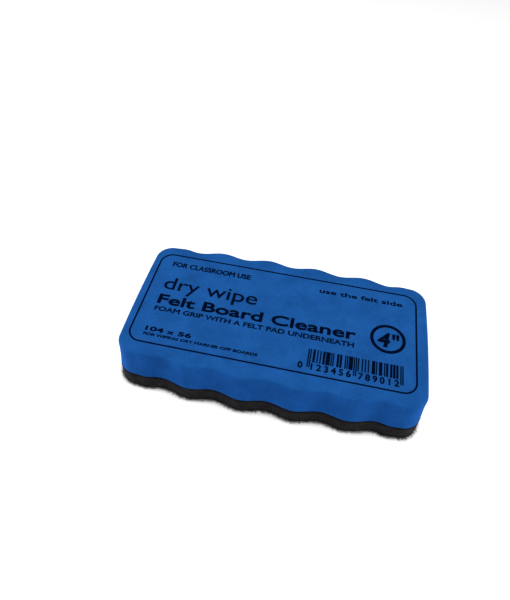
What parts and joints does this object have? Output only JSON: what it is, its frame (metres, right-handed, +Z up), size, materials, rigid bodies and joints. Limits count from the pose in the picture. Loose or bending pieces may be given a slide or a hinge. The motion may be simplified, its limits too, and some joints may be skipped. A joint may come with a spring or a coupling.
{
  "type": "whiteboard eraser",
  "caption": "Block-shaped magnetic board eraser: scalloped foam grip glued over a felt wiping pad, with ferrite discs sealed inside.",
  "frame": {"origin": "centre of the felt's wiping face, the face that rests on the table or the board", "axes": "+X along the length, in the reading direction of the printed top; +Y across, towards the top of the print; +Z up, from the felt to the printed foam face"},
  "size_m": [0.1044, 0.0558, 0.0191],
  "materials": {
    "foam": "matte blue closed-cell EVA foam, die-cut sides",
    "felt": "charcoal needle-punched felt",
    "adhesive_film": "thin dark hot-melt film",
    "ferrite": "dark grey sintered ferrite, ground faces",
    "glue": "cured yellowish contact glue",
    "ink": "near-black screen-printing ink on the top of the foam, in the visual model only"
  },
  "bodies": {
    "root": {"felt_pad": "felt", "adhesive_film": "adhesive_film", "foam_block": "foam", "magnet_left": "ferrite", "magnet_right": "ferrite", "magnet_glue_left": "glue", "magnet_glue_right": "glue"}
  },
  "joints": []
}
